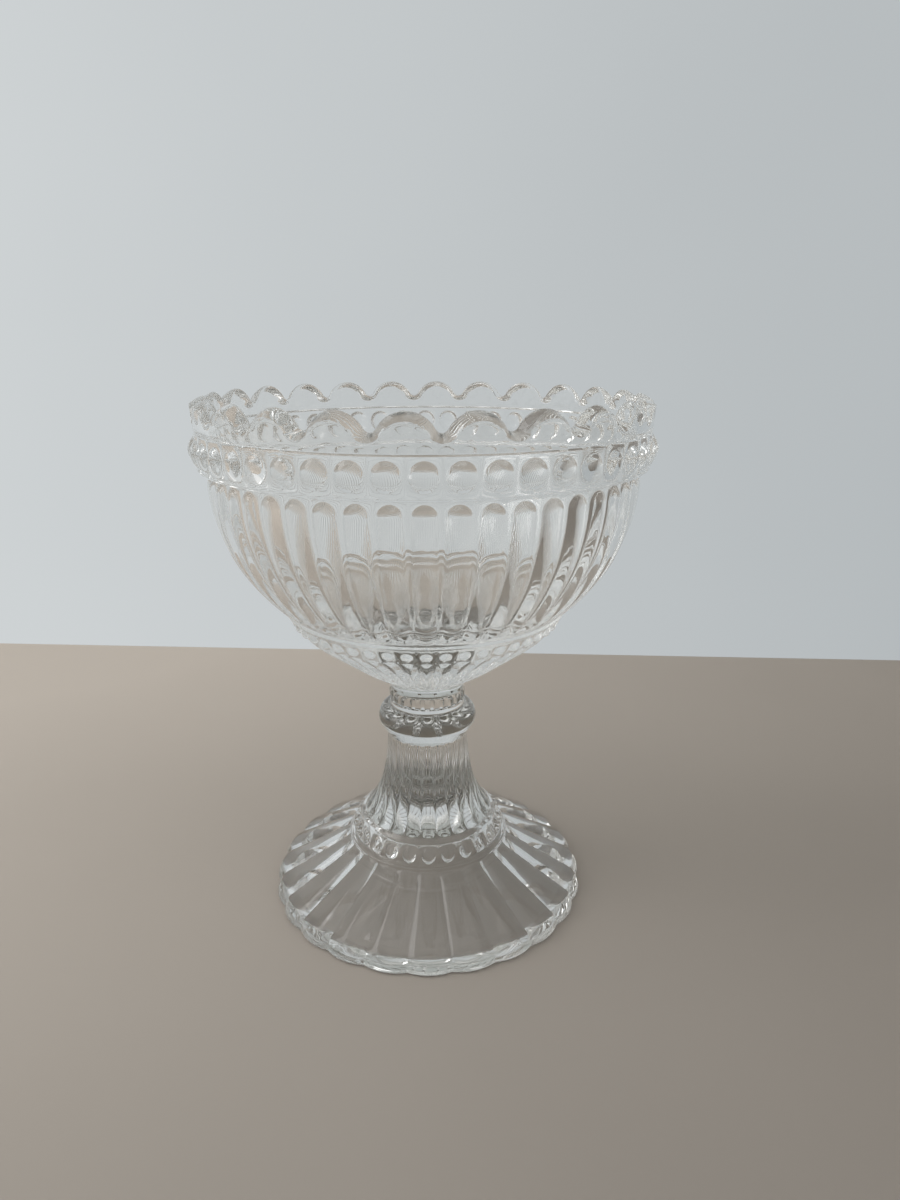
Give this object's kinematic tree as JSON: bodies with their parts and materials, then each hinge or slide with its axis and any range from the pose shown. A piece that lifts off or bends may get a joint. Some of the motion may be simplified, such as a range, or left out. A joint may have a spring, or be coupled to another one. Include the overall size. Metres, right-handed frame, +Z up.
{
  "type": "footed parfait glass",
  "caption": "Footed pressed-glass parfait glass: fluted bowl with a beaded collar and scalloped rim, on a ribbed stem with a knop and a lobed hollow foot.",
  "frame": {"origin": "centre of the foot's resting face, on the table", "axes": "+Z up along the glass's axis; a valley between two scallops of the rim points to -Y"},
  "size_m": [0.126, 0.126, 0.152],
  "materials": {
    "clear_glass": "fire-polished pressed glass"
  },
  "bodies": {
    "root": {"bowl": "clear_glass", "wafer": "clear_glass", "knop": "clear_glass", "stem": "clear_glass", "foot": "clear_glass"}
  },
  "joints": []
}
